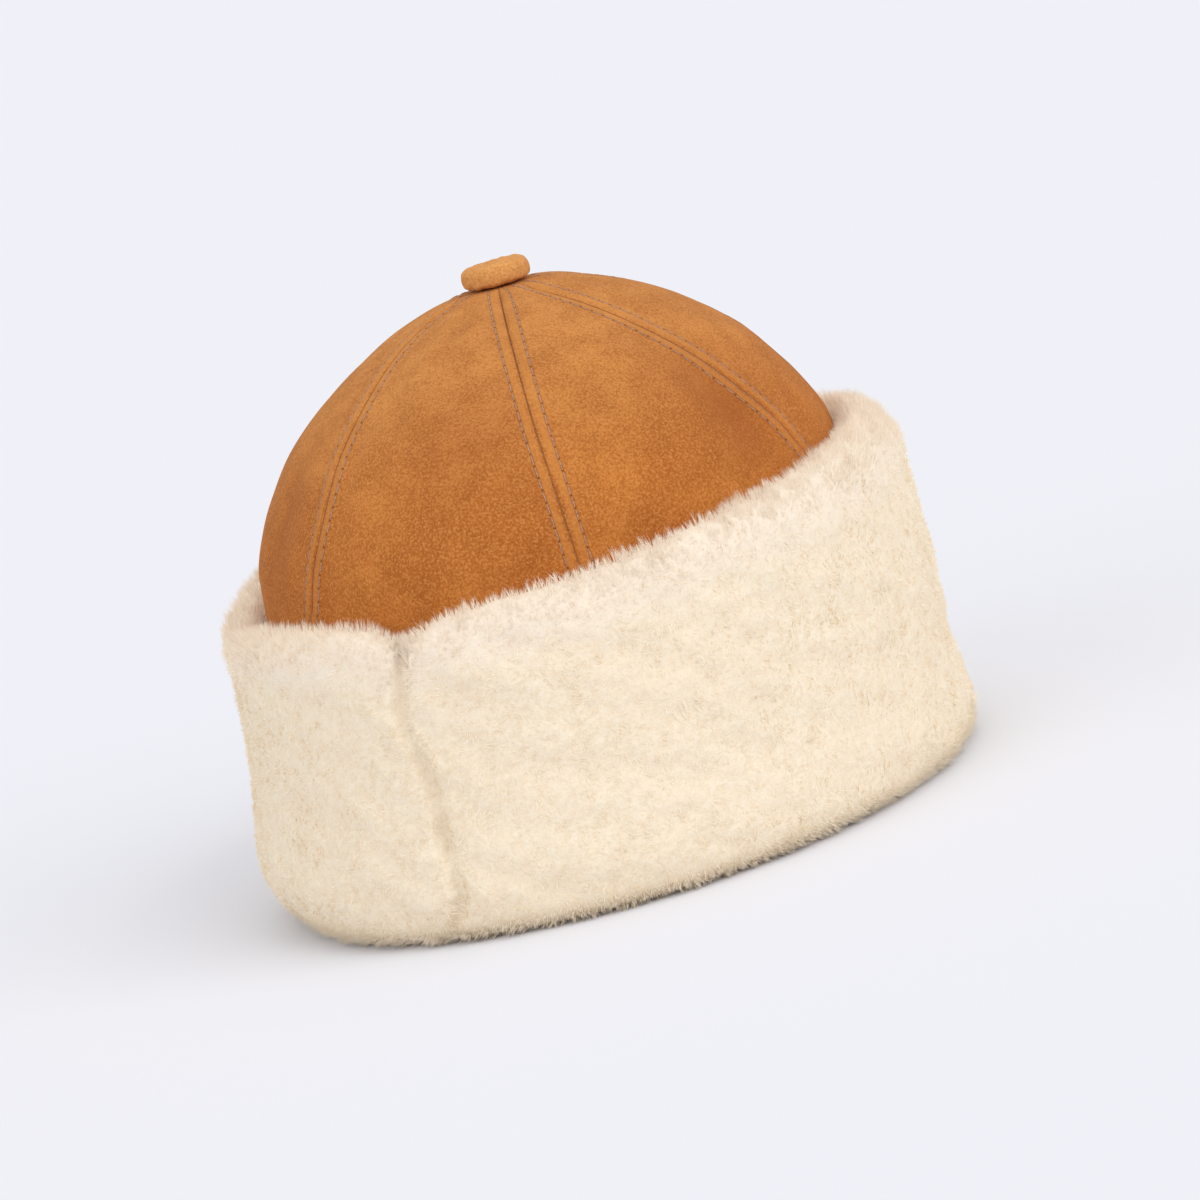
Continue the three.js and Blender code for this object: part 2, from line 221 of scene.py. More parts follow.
# How much a strand lies upwards everywhere, stands upright at the top, and points outwards at foot and hem.
LYING_UPWARDS = 0.15
UPRIGHT_AT_TOP = 1.15
OUTWARDS_LOW = 1.3

BUTTON_RADIUS = 11.75
BUTTON_THICK = 8.0
BUTTON_GAP = 0.3
BUTTON_LUMPS = 0.28
BUTTON_COLUMNS = 96
BUTTON_POINTS = 40
GATHERS = 17
# Share of the radius and of the thickness, from the underside round to the middle of the top.
BUTTON_OUTLINE = [
    (0.84, 0),
    (0.96, 0.12),
    (1, 0.35),
    (0.992, 0.59),
    (0.94, 0.78),
    (0.8, 0.895),
    (0.4, 0.955),
    (0, 0.97),
]

# Stitching: rows at this distance from each seam, one stitch to each pitch, down this length from the top.
STITCH_FROM_SEAM = 4.3
STITCH_PITCH = 4.5
STITCHED_LENGTH = 150
STITCH_THICK = 0.23
STITCH_RINGS = 7
STITCH_SIDES = 6
# Half a stitch as a share of the pitch, how high it rises and how deep its ends lie. Stitches are left out
# further down than this over the cuff's edge, and nearer than this to the crown's top.
HALF_STITCH = 0.45
STITCH_LIFT = 0.34
STITCH_ENDS_SUNK = 0.16
STITCHED_OVER_EDGE = -4
STITCHED_FROM_TOP = 10.5

# Colours, as sRGB numbers in 0..255. A tint is a colour and its greatest share.
CROWN_TONES = ((176, 101, 42), (193, 118, 52))
CROWN_DARK = (147, 79, 30)
CROWN_LIGHT = (211, 144, 78)
# The button's suede: a lighter copy of the crown's, painted light for the light that falls on it from above.
BUTTON_LIT_TONES = ((208, 143, 78), (220, 157, 94))
BUTTON_LIT_DARK = (186, 119, 59)
BUTTON_LIT_LIGHT = (235, 178, 114)
# Painted sheen: the suede paler high up.
SHEEN_PAINT_TINT = ((217, 155, 91), 0.5)
# Painted shade in the soft hollows of the hide, by how deep they are.
HOLLOW_SHADE_TINT = ((146, 76, 32), 0.5)
# Painted highlight on the seams' raised bands.
BAND_HIGHLIGHT_TINT = ((203, 134, 68), 0.4)
# Painted shade in the groove along each seam, between the panels.
GROOVE_SHADE_TINT = ((114, 56, 30), 0.55)
# Painted shade in the furrow that each row of stitches pulls.
FURROW_SHADE_TINT = ((150, 88, 45), 0.28)
# Painted shade in the stitch holes.
HOLE_SHADE_TINT = ((96, 58, 38), 0.6)
THREAD_TONES = ((152, 115, 94), (187, 149, 126))
# The wool's ground: the first tone is painted shade between the curls, the second its tone on them.
WOOL_CURL_SHADE_TONES = ((236, 220, 193), (243, 230, 208))
WOOL_FINE_TINT = ((231, 211, 183), 0.35)
WOOL_SOFT_TINT = ((242, 226, 203), 0.4)
# Painted light: the ground paler by the upper edge.
WOOL_EDGE_LIGHT_TINT = ((245, 233, 219), 0.7)
PILE_TONES = ((250, 239, 219), (246, 231, 207))
PILE_SOFT_TINT = ((248, 232, 209), 0.4)
# Painted light: the wisps paler by the upper edge and on the hem.
PILE_EDGE_LIGHT_TINT = ((250, 239, 226), 0.7)
# Painted shade deep in the pile: the wisps are painted lighter towards their tips.
PILE_TIP_LIGHT_TINT = ((253, 246, 232), 0.4)
# Heights in metres from and to which the suede gets paler with a painted sheen, and distances from a seam between
# which its band's painted highlight, its groove's painted shade and the painted shade in the furrow that the
# stitches pull show.
SHEEN_PAINT_UP = (0.12, 0.184)
BAND_FROM = (1.0, 1.7)
BAND_TO = (3.5, 4.2)
GROOVE_TO = (0.1, 0.55)
FURROW_TO = (0.2, 0.9)


def smoothstep(x, low, high):
    """0 below low, 1 above high, and a smooth S between them."""
    t = np.clip((x - low) / (high - low), 0, 1)
    return t * t * (3 - 2 * t)


def wrapped(turn):
    """The turn brought into -180..180."""
    return (turn + 180) % 360 - 180


def unit(vectors):
    """Each vector divided by its own length."""
    return vectors / np.maximum(np.linalg.norm(vectors, axis=-1, keepdims=True), 1e-12)


def curve_through(points, count):
    """A centripetal Catmull-Rom curve: between two points it is the cubic whose slopes at both come from the
    neighbours, each gap weighed by the square root of its length. Sampled evenly along its length."""
    p = np.array(points, float)
    p = np.vstack([2 * p[0] - p[1], p, 2 * p[-1] - p[-2]])
    gap = np.sqrt(np.linalg.norm(np.diff(p, axis=0), axis=1))[:, None]
    before, here, after = gap[:-2], gap[1:-1], gap[2:]
    p0, p1, p2, p3 = p[:-3], p[1:-2], p[2:-1], p[3:]
    start = ((p1 - p0) / before - (p2 - p0) / (before + here) + (p2 - p1) / here) * here
    end = ((p2 - p1) / here - (p3 - p1) / (here + after) + (p3 - p2) / after) * here
    t = np.linspace(0, 1, 200, endpoint=False)[None, :, None]
    a, b, c, d = (x[:, None, :] for x in (p1, start, end, p2))
    dense = a + b * t + (3 * (d - a) - 2 * b - c) * t**2 + (2 * (a - d) + b + c) * t**3
    dense = np.vstack([dense.reshape(-1, p.shape[1]), p2[-1]])
    length = np.concatenate([[0], np.cumsum(np.linalg.norm(np.diff(dense, axis=0), axis=1))])
    at = np.linspace(0, 1, count) * length[-1]
    return np.stack([np.interp(at, length, dense[:, k]) for k in range(p.shape[1])], -1)


def cuff_edge(turn):
    """The height of the cuff's upper edge: a cubic through the table, the last row leading into the first."""
    at, value = np.array(CUFF_HEIGHTS, float).T
    turn = wrapped(np.asarray(turn, float))
    i = np.clip(np.searchsorted(at, turn, side="right"), 1, len(at) - 1)
    before = np.concatenate([[at[0] + at[-2] - at[-1]], at])
    before_value = np.concatenate([[value[-2]], value])
    after = np.concatenate([at, [at[-1] + at[1] - at[0]]])
    after_value = np.concatenate([value, [value[1]]])
    t0, t1, v0, v1 = at[i - 1], at[i], value[i - 1], value[i]
    wp = (t1 - t0) / 2 / (t0 - before[i - 1])
    wn = (t1 - t0) / 2 / (after[i + 1] - t1)
    p = (turn - t0) / (t1 - t0)
    p2, p3 = p**2, p**3
    return (
        (-wp * p3 + 2 * wp * p2 - wp * p) * before_value[i - 1]
        + ((1 + wp) * p3 + (-1.5 - 2 * wp) * p2 + (-0.5 + wp) * p + 1) * v0
        + ((-1 - wn) * p3 + (1.5 + wn) * p2 + 0.5 * p) * v1
        + (wn * p3 - wn * p2) * after_value[i + 1]
    )


def leant(x, y, z):
    """A point of the upright hat where it lies in the leaning one: moved sideways by an amount for its height."""
    return np.stack([x + np.interp(z, LEAN_AT, LEAN_X), y + np.interp(z, LEAN_AT, LEAN_Y), z], -1)


def near(spot, turn, z):
    """One at the spot's own turn and height, and less away from it, as a bell curve both ways."""
    return np.exp(-((wrapped(turn - spot[0]) / spot[2]) ** 2) - ((z - spot[1]) / spot[3]) ** 2)


class Softly:
    """A smooth random field over turns and a second number: a table of random numbers, wrapped round in turn,
    read between its four nearest entries with S-shaped weights."""

    def __init__(self, seed, round_count, step, rows=200):
        self.table = np.random.default_rng(seed).uniform(-1, 1, (round_count, rows))
        self.step = step

    def __call__(self, turn, along):
        u = (np.asarray(turn) / 360 % 1) * self.table.shape[0]
        v = np.asarray(along) / self.step + 20
        i, j = np.floor(u).astype(int), np.floor(v).astype(int)
        fu, fv = smoothstep(u - i, 0, 1), smoothstep(v - j, 0, 1)
        i, i1 = i % self.table.shape[0], (i + 1) % self.table.shape[0]
        j, j1 = j % self.table.shape[1], (j + 1) % self.table.shape[1]
        low = self.table[i, j] * (1 - fu) + self.table[i1, j] * fu
        high = self.table[i, j1] * (1 - fu) + self.table[i1, j1] * fu
        return low * (1 - fv) + high * fv


# Meshes


def grid_faces(rows, columns, closed_rows=False, closed_columns=False):
    """Quads between neighbouring points of a grid that is numbered row by row."""
    r = np.arange(rows if closed_rows else rows - 1)
    c = np.arange(columns if closed_columns else columns - 1)
    r, c = np.meshgrid(r, c, indexing="ij")
    r1, c1 = (r + 1) % rows, (c + 1) % columns
    quads = [r * columns + c, r * columns + c1, r1 * columns + c1, r1 * columns + c]
    return np.stack(quads, -1).reshape(-1, 4)


def make_piece(name, points, faces, finishes, finish_of_face=None, smooth=True, replaces=()):
    """A mesh from an array of points in millimetres and one of faces, with its finishes, on the hat's body."""
    mesh = bpy.data.meshes.new(name)
    size = faces.shape[1]
    mesh.vertices.add(len(points))
    mesh.vertices.foreach_set("co", (points * MM).astype(np.float32).ravel())
    mesh.loops.add(faces.size)
    mesh.loops.foreach_set("vertex_index", faces.astype(np.int32).ravel())
    mesh.polygons.add(len(faces))
    mesh.polygons.foreach_set("loop_start", np.arange(0, faces.size, size, dtype=np.int32))
    mesh.polygons.foreach_set("loop_total", np.full(len(faces), size, np.int32))
    mesh.update(calc_edges=True)
    mesh.polygons.foreach_set("use_smooth", np.full(len(faces), smooth, bool))
    for finish in finishes:
        mesh.materials.append(finish)
    if finish_of_face is not None:
        mesh.polygons.foreach_set("material_index", finish_of_face.astype(np.int32))
    piece = bpy.data.objects.new(name, mesh)
    bpy.context.scene.collection.objects.link(piece)
    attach(piece, "root")
    if replaces:
        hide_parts(*replaces)
    return piece


def give_numbers(piece, name, values):
    """One number to each point of the piece's mesh, which its finish reads by that name."""
    held = piece.data.attributes.new(name, "FLOAT", "POINT")
    held.data.foreach_set("value", np.asarray(values, np.float32).ravel())


# Finishes


class Shade:
    """One output of a node, so that sums on it can be written as sums."""

    def __init__(self, finish, socket):
        self.finish = finish
        self.socket = socket

    def maths(self, operation, *values, clamp=False):
        numbered = dict(enumerate(values))
        settings = {"operation": operation, "use_clamp": clamp}
        return self.finish.node("ShaderNodeMath", settings, numbered)

    def __add__(self, other):
        return self.maths("ADD", self, other)

    def __radd__(self, other):
        return self.maths("ADD", other, self)

    def __sub__(self, other):
        return self.maths("SUBTRACT", self, other)

    def __rsub__(self, other):
        return self.maths("SUBTRACT", other, self)

    def __mul__(self, other):
        return self.maths("MULTIPLY", self, other)

    def __truediv__(self, other):
        return self.maths("DIVIDE", self, other)

    def __abs__(self):
        return self.maths("ABSOLUTE", self)

    def part(self):
        """What is left over the whole number below."""
        return self.maths("FRACT", self)

    def held(self):
        """Kept within 0..1."""
        return self.maths("ADD", self, 0.0, clamp=True)

    def step(self, low, high):
        """0 below low, 1 above high, and a smooth S between them."""
        settings = {"interpolation_type": "SMOOTHSTEP"}
        sockets = {"Value": self, "From Min": low, "From Max": high}
        return self.finish.node("ShaderNodeMapRange", settings, sockets)


class Finish:
    """A material in the making: its nodes, and the one shader that they feed."""

    def __init__(self, name, constants):
        self.material = bpy.data.materials.new(name)
        self.material.use_nodes = True
        self.tree = self.material.node_tree
        self.shader = self.tree.nodes["Principled BSDF"]
        for key, value in constants.items():
            self.shader.inputs[key].default_value = value

    def node(self, kind, settings=None, sockets=None, output=0):
        """Any node: its settings are made first, then its sockets get their values or links."""
        made = self.tree.nodes.new(kind)
        for key, value in (settings or {}).items():
            setattr(made, key, value)
        for key, value in (sockets or {}).items():
            if isinstance(value, Shade):
                self.tree.links.new(value.socket, made.inputs[key])
            else:
                made.inputs[key].default_value = value
        return Shade(self, made.outputs[output])

    def place(self):
        """Where a point is in the piece's own metres."""
        return self.node("ShaderNodeTexCoord", output="Object")

    def number(self, name):
        """What the piece's mesh holds under this name."""
        return self.node("ShaderNodeAttribute", {"attribute_name": name}, output="Fac")

    def noise(self, at, scale, detail=2.0, roughness=0.5):
        """A cloudy pattern, 0..1, so many to the metre."""
        sockets = {"Vector": at, "Scale": scale, "Detail": detail, "Roughness": roughness}
        return self.node("ShaderNodeTexNoise", None, sockets)

    def moved(self, at, by):
        """A place moved by the same amount three ways."""
        return self.node("ShaderNodeVectorMath", {"operation": "ADD"}, {0: at, 1: by})

    def mixed(self, share, first, second):
        """The first colour where share is 0 and the second where it is 1."""
        sockets = {0: share, 6: colour(first), 7: colour(second)}
        return self.node("ShaderNodeMix", {"data_type": "RGBA"}, sockets, output=2)

    def tinted(self, base, where, tint):
        """The base with the tint's colour over it, at the tint's share where this is 1."""
        over, share = tint
        return self.mixed(where * share, base, over)

    def feed(self, socket, shade):
        """Lets a socket of the shader follow the pattern."""
        self.tree.links.new(shade.socket, self.shader.inputs[socket])

    def bumps(self, height, distance, strength=1.0):
        """Light falls as if the surface rose by so many metres where height is 1."""
        sockets = {"Height": height, "Distance": distance, "Strength": strength}
        self.feed("Normal", self.node("ShaderNodeBump", None, sockets))


def colour(value):
    """sRGB numbers in 0..255 as the linear light that nodes take, and a colour from a node as it is."""
    if isinstance(value, Shade):
        return value
    s = np.asarray(value, float) / 255
    return (*np.where(s <= 0.04045, s / 12.92, ((s + 0.055) / 1.055) ** 2.4).tolist(), 1.0)


def suede(name, tones, dark, light, bands=True):
    """Brushed suede: nap in soft patches over a fine grain, and paler high up with a painted sheen. Where there
    are seams, it has a painted highlight on the raised bands and painted shade in the hollows, in the grooves and
    along the stitches."""
    brushed = {"Sheen Weight": 0.07, "Sheen Roughness": 0.5, "Sheen Tint": (1.0, 0.7, 0.38, 1.0)}
    f = Finish(name, {"Specular IOR Level": 0.12, **brushed})
    at = f.place()
    height_here = f.node("ShaderNodeSeparateXYZ", None, {0: at}, output=2)
    patches = f.noise(at, 34, 2, 0.55)
    cloudy = f.noise(at, 90, 3, 0.6)
    nap = f.noise(at, 1250, 3, 0.65)
    grain = f.noise(at, 2200, 2, 0.6)
    base = f.mixed(patches.step(0.36, 0.64), *tones)
    # Painted sheen: paler high up.
    base = f.tinted(base, height_here.step(*SHEEN_PAINT_UP), SHEEN_PAINT_TINT)
    base = f.tinted(base, cloudy.step(0.64, 0.34), (dark, 0.36))
    base = f.tinted(base, nap.step(0.44, 0.7), (light, 0.65))
    base = f.tinted(base, nap.step(0.54, 0.31), (dark, 0.52))
    base = f.tinted(base, grain.step(0.55, 0.78), (light, 0.4))
    bump = patches * 0.25 + cloudy * 0.35 + nap * 0.3 + grain * 0.12
    if bands:
        gap = f.number("from_seam")
        band = gap.step(*BAND_FROM) * (1 - gap.step(*BAND_TO))
        beside = abs(gap - STITCH_FROM_SEAM)
        furrow = 1 - beside.step(*FURROW_TO)
        from_middle = abs((f.number("along_seam") / STITCH_PITCH).part() - 0.5)
        hole = (1 - beside.step(0.15, 0.5)) * from_middle.step(0.4, 0.47)
        base = f.tinted(base, (f.number("hollowed") / DEEPEST_HOLLOW).held(), HOLLOW_SHADE_TINT)
        base = f.tinted(base, band, BAND_HIGHLIGHT_TINT)
        base = f.tinted(base, 1 - gap.step(*GROOVE_TO), GROOVE_SHADE_TINT)
        base = f.tinted(base, furrow, FURROW_SHADE_TINT)
        base = f.tinted(base, hole, HOLE_SHADE_TINT)
        bump = bump - furrow * 0.15 - hole * 0.5
    f.feed("Base Color", base)
    f.feed("Roughness", 0.86 + nap * 0.12)
    f.bumps(bump, 0.0009, 0.7)
    return f.material


def fleece_skin():
    """Clipped wool: cream, in small soft curls, with painted shade between them, and paler with painted light by
    the upper edge.
    """
    f = Finish("fleece_ground", {"Specular IOR Level": 0.1})
    at = f.place()
    sway = f.noise(at, 160, 2, 0.5) * 0.006
    curls = f.noise(f.moved(at, sway), 430, 3, 0.6)
    fine = f.noise(at, 1100, 2, 0.6)
    soft = f.noise(at, 40, 2, 0.5)
    base = f.mixed(curls.step(0.3, 0.62), *WOOL_CURL_SHADE_TONES)
    base = f.tinted(base, fine.step(0.55, 0.3), WOOL_FINE_TINT)
    base = f.tinted(base, soft.step(0.35, 0.65), WOOL_SOFT_TINT)
    base = f.tinted(base, f.number("painted_edge_light"), WOOL_EDGE_LIGHT_TINT)
    f.feed("Base Color", base)
    f.feed("Roughness", 0.93 + soft * 0.06)
    f.bumps(curls * 0.7 + fine * 0.3, 0.0011, 0.7)
    return f.material


def pile_finish():
    """Wisps of fleece over the wool's ground: as pale as it is, with a tone of its own for each wisp, paler with
    painted light by the upper edge and on the hem, and lighter towards the tips, with painted shade towards the
    roots.
    """
    f = Finish("fleece_pile", {"Roughness": 0.95, "Specular IOR Level": 0.1})
    soft = f.noise(f.place(), 40, 2, 0.5)
    base = f.mixed(f.number("tone"), *PILE_TONES)
    base = f.tinted(base, soft.step(0.35, 0.65), PILE_SOFT_TINT)
    base = f.tinted(base, f.number("painted_edge_light"), PILE_EDGE_LIGHT_TINT)
    base = f.tinted(base, f.number("tip").step(0.2, 1.0), PILE_TIP_LIGHT_TINT)
    f.feed("Base Color", base)
    return f.material


def thread_finish():
    """Mauve-grey sewing thread, twisted."""
    f = Finish("sewing_thread", {"Roughness": 0.7, "Specular IOR Level": 0.3, "Sheen Weight": 0.2})
    twist = f.noise(f.place(), 2400, 1, 0.5)
    f.feed("Base Color", f.mixed(twist.step(0.35, 0.65), *THREAD_TONES))
    f.bumps(twist, 0.0002, 0.6)
    return f.material


# The crown


CROWN_CURVE = [(share * HALF_LENGTH, z) for share, z in CROWN_PROFILE]
PROFILE = curve_through(CROWN_CURVE, 4001)
PROFILE_LENGTH = float(np.linalg.norm(np.diff(curve_through(CROWN_CURVE, 2001), axis=0), axis=1).sum())


def dome(turn, along):
    """A point of the smooth dome: its share of the head opening and its height come from the profile curve at
    this part of its length, the turn goes round an ellipse of that size, and the whole leans."""
    at = np.clip(along, 0, 1) * (len(PROFILE) - 1)
    share = np.interp(at, np.arange(len(PROFILE)), PROFILE[:, 0]) / HALF_LENGTH
    z = np.interp(at, np.arange(len(PROFILE)), PROFILE[:, 1])
    angle = np.radians(turn)
    return leant(HALF_WIDTH * share * np.sin(angle), -HALF_LENGTH * share * np.cos(angle), z)


def from_top(points):
    """How far points are from the upright line through the crown's top."""
    return np.hypot(points[..., 0] - LEAN_X[-1], points[..., 1] - LEAN_Y[-1])


def dome_normal(turn, along):
    """Square to the dome: the slope round it crossed with the slope up it."""
    up = dome(turn, along + 0.004) - dome(turn, along - 0.004)
    about = dome(turn + 1, along) - dome(turn - 1, along)
    return unit(np.cross(about, up))


wander = Softly(11, 60, 9.0)
ripple = Softly(12, 150, 4.0)


def hollowed(turn, z):
    """How far the soft hollows draw the hide in at a place."""
    return sum(spot[4] * near(spot, turn, z) for spot in HOLLOWS)


def crown_relief(turn, points, gap, wide, run, half_panel):
    """How far the suede stands out of the smooth dome: the seam's raised band, less what the seam draws in and
    the hollows, plus slow waves in the hide and puckers between the stitches. It dies away under the cuff and
    under the button."""
    edge = cuff_edge(turn)
    z = points[..., 2]
    over_edge = smoothstep(z, edge + RELIEF_OVER_EDGE[0], edge + RELIEF_OVER_EDGE[1])
    shown = over_edge * smoothstep(from_top(points), *RELIEF_FROM_TOP)
    sunk = SEAM_PULL * (1 - np.sin(np.pi / 2 * np.minimum(1, gap / half_panel)))
    sunk = sunk + hollowed(turn, z)
    band = np.interp(wide, BAND_AT, BAND_RISE)
    on_row = np.exp(-(((wide - STITCH_FROM_SEAM) / PUCKER_REACH) ** 2))
    pucker = PUCKER_HEIGHT * np.cos(2 * np.pi * run / STITCH_PITCH) * on_row
    waves = WAVES_HEIGHT * wander(turn, z) + RIPPLES_HEIGHT * ripple(turn, z)
    return shown * (band - sunk + pucker + waves * smoothstep(gap, 4.0, 12.0))


def seam_at(k):
    """The seam of this number, counted on past the last one with a whole turn added, or back past the first."""
    rounds, place = divmod(k, len(SEAMS))
    turn, bow, sweep = SEAMS[place]
    return turn + 360 * rounds, bow, sweep


def seam_turn(seam, along):
    """A seam's turn at this part of the crown's curve: its own, plus a bow that is widest halfway up and a
    steady sweep, both from where the cuff hides it."""
    turn, bow, sweep = seam
    way = np.clip((along - STRAIGHT_SHARE) / (1 - STRAIGHT_SHARE), 0, 1)
    return turn + 4 * bow * way * (1 - way) + sweep * way


def squeeze_of(half_panel):
    """How much the band beside a seam closes up: 1 on a wide panel, and in step with the width on a narrow one.
    The two run into each other as s over the fourth root of one plus s to the fourth."""
    share = MOST_BAND * (half_panel - SEAM_GAP) / (BAND_END - SEAM_GAP)
    return share / (1 + share**4) ** 0.25


def crown_grid(left_seam, right_seam, rows):
    """The turns and distances of a panel's grid. Columns keep their distance from the nearer seam, and close up
    where the panel is too narrow. Returns turn, gap to the nearer seam, that gap as it would be on a wide panel,
    and half the panel's width."""
    left_turn, right_turn = seam_turn(left_seam, rows), seam_turn(right_seam, rows)
    half_turn = (right_turn - left_turn) / 2
    half_panel = from_top(dome(left_turn + half_turn, rows)) * np.radians(half_turn)
    banded = SEAM_GAP + (np.array(NEAR_COLUMNS) - SEAM_GAP)[None, :] * squeeze_of(half_panel)[:, None]
    across = np.linspace(0, 1, MIDDLE_COLUMNS + 1)[None, 1:]
    rest = banded[:, -1:] + (half_panel[:, None] - banded[:, -1:]) * across
    gap = np.hstack([banded, rest])
    wide = np.hstack([np.broadcast_to(NEAR_COLUMNS, banded.shape), rest - banded[:, -1:] + BAND_END])
    turned = (half_turn / half_panel)[:, None] * gap
    turn = np.hstack([left_turn[:, None] + turned, (right_turn[:, None] - turned)[:, -2::-1]])
    gap, wide = (np.hstack([half, half[:, -2::-1]]) for half in (gap, wide))
    return turn, gap, wide, half_panel[:, None]


def crown_surface(left_seam, right_seam, rows):
    """A panel's surface: points of the dome, its normals there and how far the relief stands out. With them, for
    the finish: the distance from the seam as it would be on a wide panel, the run along it, which is the length
    of the profile from the top, and how far the hide is hollowed."""
    turn, gap, wide, half_panel = crown_grid(left_seam, right_seam, rows)
    along = np.repeat(rows[:, None], turn.shape[1], axis=1)
    points = dome(turn, along)
    run = (1 - along) * PROFILE_LENGTH
    rise = crown_relief(turn, points, gap, wide, run, half_panel)
    return points, dome_normal(turn, along), rise, wide, run, hollowed(turn, points[..., 2])


def crown_panel(number, left_seam, right_seam, outside, inside):
    """One panel as a closed shell: the outer surface, an inner one a hide's thickness below, and their edges.
    Rows are further apart where the cuff hides them."""
    few = np.linspace(0, FEW_ROWS_TO, FEW_ROWS)[:-1]
    rows = np.concatenate([few, np.linspace(FEW_ROWS_TO, 1, MANY_ROWS)])
    points, normal, rise, wide, run, hollow = crown_surface(left_seam, right_seam, rows)
    outer = points + normal * rise[..., None]
    inner = points + normal * (np.minimum(0, rise) - HIDE)[..., None]
    r, c = wide.shape
    # Each row is a loop: the outer points one way and the inner ones back.
    loops = np.concatenate([outer, inner[:, ::-1]], axis=1) + MIDDLE
    walls = grid_faces(r, 2 * c, closed_columns=True)
    j = np.arange(c - 1)
    end = np.stack([j, 2 * c - 1 - j, 2 * c - 2 - j, j + 1], -1)
    is_inner = np.arange(len(walls)) % (2 * c) >= c - 1
    piece = make_piece(
        f"suede_panel_{number}",
        loops.reshape(-1, 3),
        np.vstack([walls, end[:, ::-1], end + (r - 1) * 2 * c]),
        [outside, inside],
        finish_of_face=np.concatenate([is_inner, np.ones(2 * len(end), bool)]),
        replaces=[f"crown_panel_{number}"],
    )
    for name, values in (("from_seam", wide), ("along_seam", run), ("hollowed", hollow)):
        give_numbers(piece, name, np.hstack([values, values[:, ::-1]]))


def stitch_lines(seam, other, side, t):
    """The middle line of each stitch in the row on one side of a seam, and the dome's normals along it. A stitch
    runs from hole to hole and rises between them as half a wave. Only those that show are kept."""
    middle = (np.arange(2, int(STITCHED_LENGTH / STITCH_PITCH)) + 0.5) * STITCH_PITCH
    run = middle[:, None] + t[None, :] * HALF_STITCH * STITCH_PITCH
    along = 1 - run / PROFILE_LENGTH
    here = seam_turn(seam, along)
    half_turn = np.abs(seam_turn(other, along) - here) / 2
    half_panel = from_top(dome(here + side * half_turn, along)) * np.radians(half_turn)
    gap = SEAM_GAP + (STITCH_FROM_SEAM - SEAM_GAP) * squeeze_of(half_panel)
    turn = here + side * half_turn * gap / half_panel
    base = dome(turn, along)
    normal = dome_normal(turn, along)
    rise = crown_relief(turn, base, gap, np.full(gap.shape, STITCH_FROM_SEAM), run, half_panel)
    lift = STITCH_LIFT * np.cos(t * np.pi / 2) ** 0.6 - STITCH_ENDS_SUNK
    line = base + normal * (rise + lift[None, :])[..., None]
    half_way = len(t) // 2
    above_cuff = base[:, half_way, 2] > cuff_edge(turn[:, half_way]) + STITCHED_OVER_EDGE
    shown = above_cuff & (from_top(base[:, half_way]) > STITCHED_FROM_TOP)
    return line[shown], normal[shown]


def stitches(finish):
    """All the topstitching, as slim closed tubes: a ring of points round each place on a stitch's middle line,
    a little flattened, and narrower towards both ends."""
    t = np.linspace(-1, 1, STITCH_RINGS)
    thick = STITCH_THICK * (1 - 0.55 * np.abs(t) ** 4)
    angle = np.arange(STITCH_SIDES) * 2 * np.pi / STITCH_SIDES
    walls = grid_faces(STITCH_RINGS, STITCH_SIDES, closed_columns=True)
    # Two quads close each end.
    ends = np.array([[0, 3, 2, 1], [0, 5, 4, 3]])
    tube = np.vstack([walls[:, ::-1], ends[:, ::-1], ends + (STITCH_RINGS - 1) * STITCH_SIDES])
    rings = []
    for k in range(len(SEAMS)):
        for side in (1, -1):
            line, normal = stitch_lines(seam_at(k), seam_at(k + side), side, t)
            across = unit(np.cross(normal, unit(np.gradient(line, axis=1))))
            level = np.cos(angle)[None, None, :, None] * across[:, :, None, :]
            upright = np.sin(angle)[None, None, :, None] * normal[:, :, None, :] * 0.8
            rings.append(line[:, :, None, :] + thick[None, :, None, None] * (level + upright))
    points = np.concatenate(rings)
    starts = np.arange(len(points)) * STITCH_RINGS * STITCH_SIDES
    faces = (tube[None] + starts[:, None, None]).reshape(-1, 4)
    make_piece("topstitching", points.reshape(-1, 3) + MIDDLE, faces, [finish])


